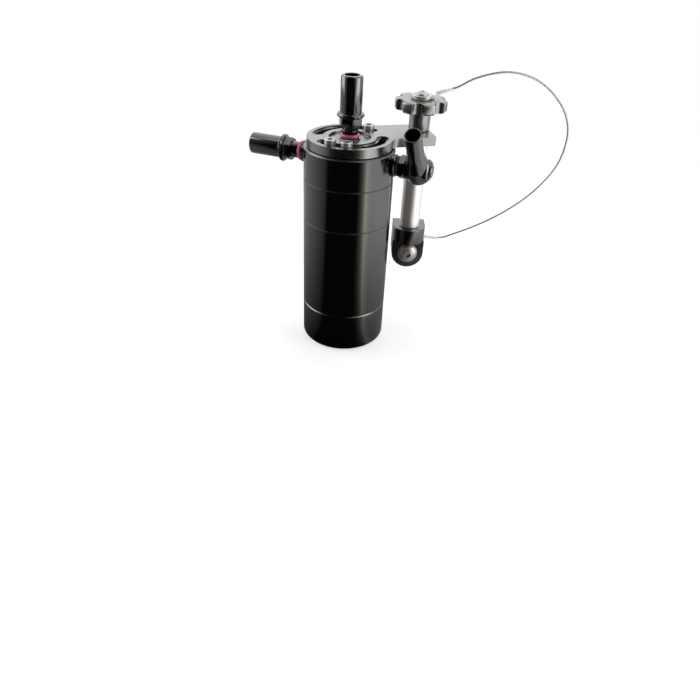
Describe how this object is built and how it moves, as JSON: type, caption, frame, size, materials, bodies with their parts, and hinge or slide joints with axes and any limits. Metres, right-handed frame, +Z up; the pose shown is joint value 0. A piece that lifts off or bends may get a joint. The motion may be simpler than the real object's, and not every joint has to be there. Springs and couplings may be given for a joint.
{
  "type": "oil catch can",
  "caption": "Round black oil catch can with an inlet on top, an outlet at each side, a slotted bracket, a stand-off post, a clamp knob and a wire lanyard.",
  "frame": {"origin": "centre of the flat base, on the can's axis", "axes": "+Z up the can's axis to the inlet, +X out of the port with the elbow, -X out of the straight outlet"},
  "size_m": [0.2281, 0.1229, 0.212],
  "materials": {
    "black_anodised": "gloss black anodised",
    "black_fitting": "satin gloss black anodised",
    "bracket_black": "satin black anodised",
    "knob_black": "satin black anodised",
    "polished_aluminium": "polished",
    "bright_steel": "bright",
    "tinned_crimp": "tinned",
    "wire_rope": "stranded",
    "red_seal": "satin",
    "black_seal": "satin",
    "valve_rubber": "satin",
    "valve_plastic": "moulded",
    "inner_steel": "plain",
    "knitted_mesh": "knitted steel wire"
  },
  "bodies": {
    "can": {"reservoir": "black_anodised", "middle_seal": "black_seal", "upper_body": "black_anodised", "head_seal": "black_seal", "head": "black_anodised", "baffle_plate": "inner_steel", "mesh_filter": "knitted_mesh", "filter_clip": "bright_steel", "inlet_tube": "inner_steel", "inlet_spigot": "black_fitting", "inlet_seal": "red_seal", "outlet_spigot": "black_fitting", "outlet_seal": "red_seal", "outlet_valve_seat": "valve_plastic", "outlet_valve": "valve_rubber", "elbow_adapter": "black_fitting", "adapter_seal": "black_seal", "elbow_seals": "black_seal", "elbow_clip": "black_fitting", "bracket": "bracket_black", "bracket_screws": "bright_steel", "post": "polished_aluminium", "foot": "bracket_black", "foot_bolt": "bright_steel", "foot_nut": "bright_steel", "lanyard_foot_eye": "tinned_crimp", "lanyard": "wire_rope"},
    "cap_ring": {"cap_seal": "black_seal"},
    "bottom_cap": {"bottom_cap": "black_anodised"},
    "elbow": {"elbow": "black_fitting", "elbow_valve_seat": "valve_plastic", "elbow_valve": "valve_rubber"},
    "knob_eye": {"lanyard_knob_eye": "tinned_crimp"},
    "knob": {"knob": "knob_black", "knob_stud": "bright_steel", "knob_washer": "bright_steel", "knob_screw": "bright_steel"}
  },
  "joints": [
    {"name": "knob_lift", "type": "slide", "parent": "can", "child": "knob_eye", "axis": [0, 0, 1], "range_m": [0, 0.005], "deforming": ["lanyard"]},
    {"name": "knob_turn", "type": "hinge", "parent": "knob_eye", "child": "knob", "pos_m": [0.04072, 0.04013, 0.168], "axis": [0, 0, 1], "range_deg": [0, 1440]},
    {"name": "cap_drop", "type": "slide", "parent": "can", "child": "cap_ring", "axis": [0, 0, -1], "range_m": [0, 0.006]},
    {"name": "cap_turn", "type": "hinge", "parent": "cap_ring", "child": "bottom_cap", "pos_m": [0, 0, 0.033], "axis": [0, 0, -1], "range_deg": [0, 1080]},
    {"name": "elbow_swivel", "type": "hinge", "parent": "can", "child": "elbow", "pos_m": [0.0535, 0, 0.1519], "axis": [1, 0, 0], "range_deg": [-60, 150]}
  ],
  "couplings": [
    {"joint": "knob_lift", "follows": "knob_turn", "m_per_rad": 0.00019894},
    {"joint": "cap_drop", "follows": "cap_turn", "m_per_rad": 0.0003183}
  ]
}
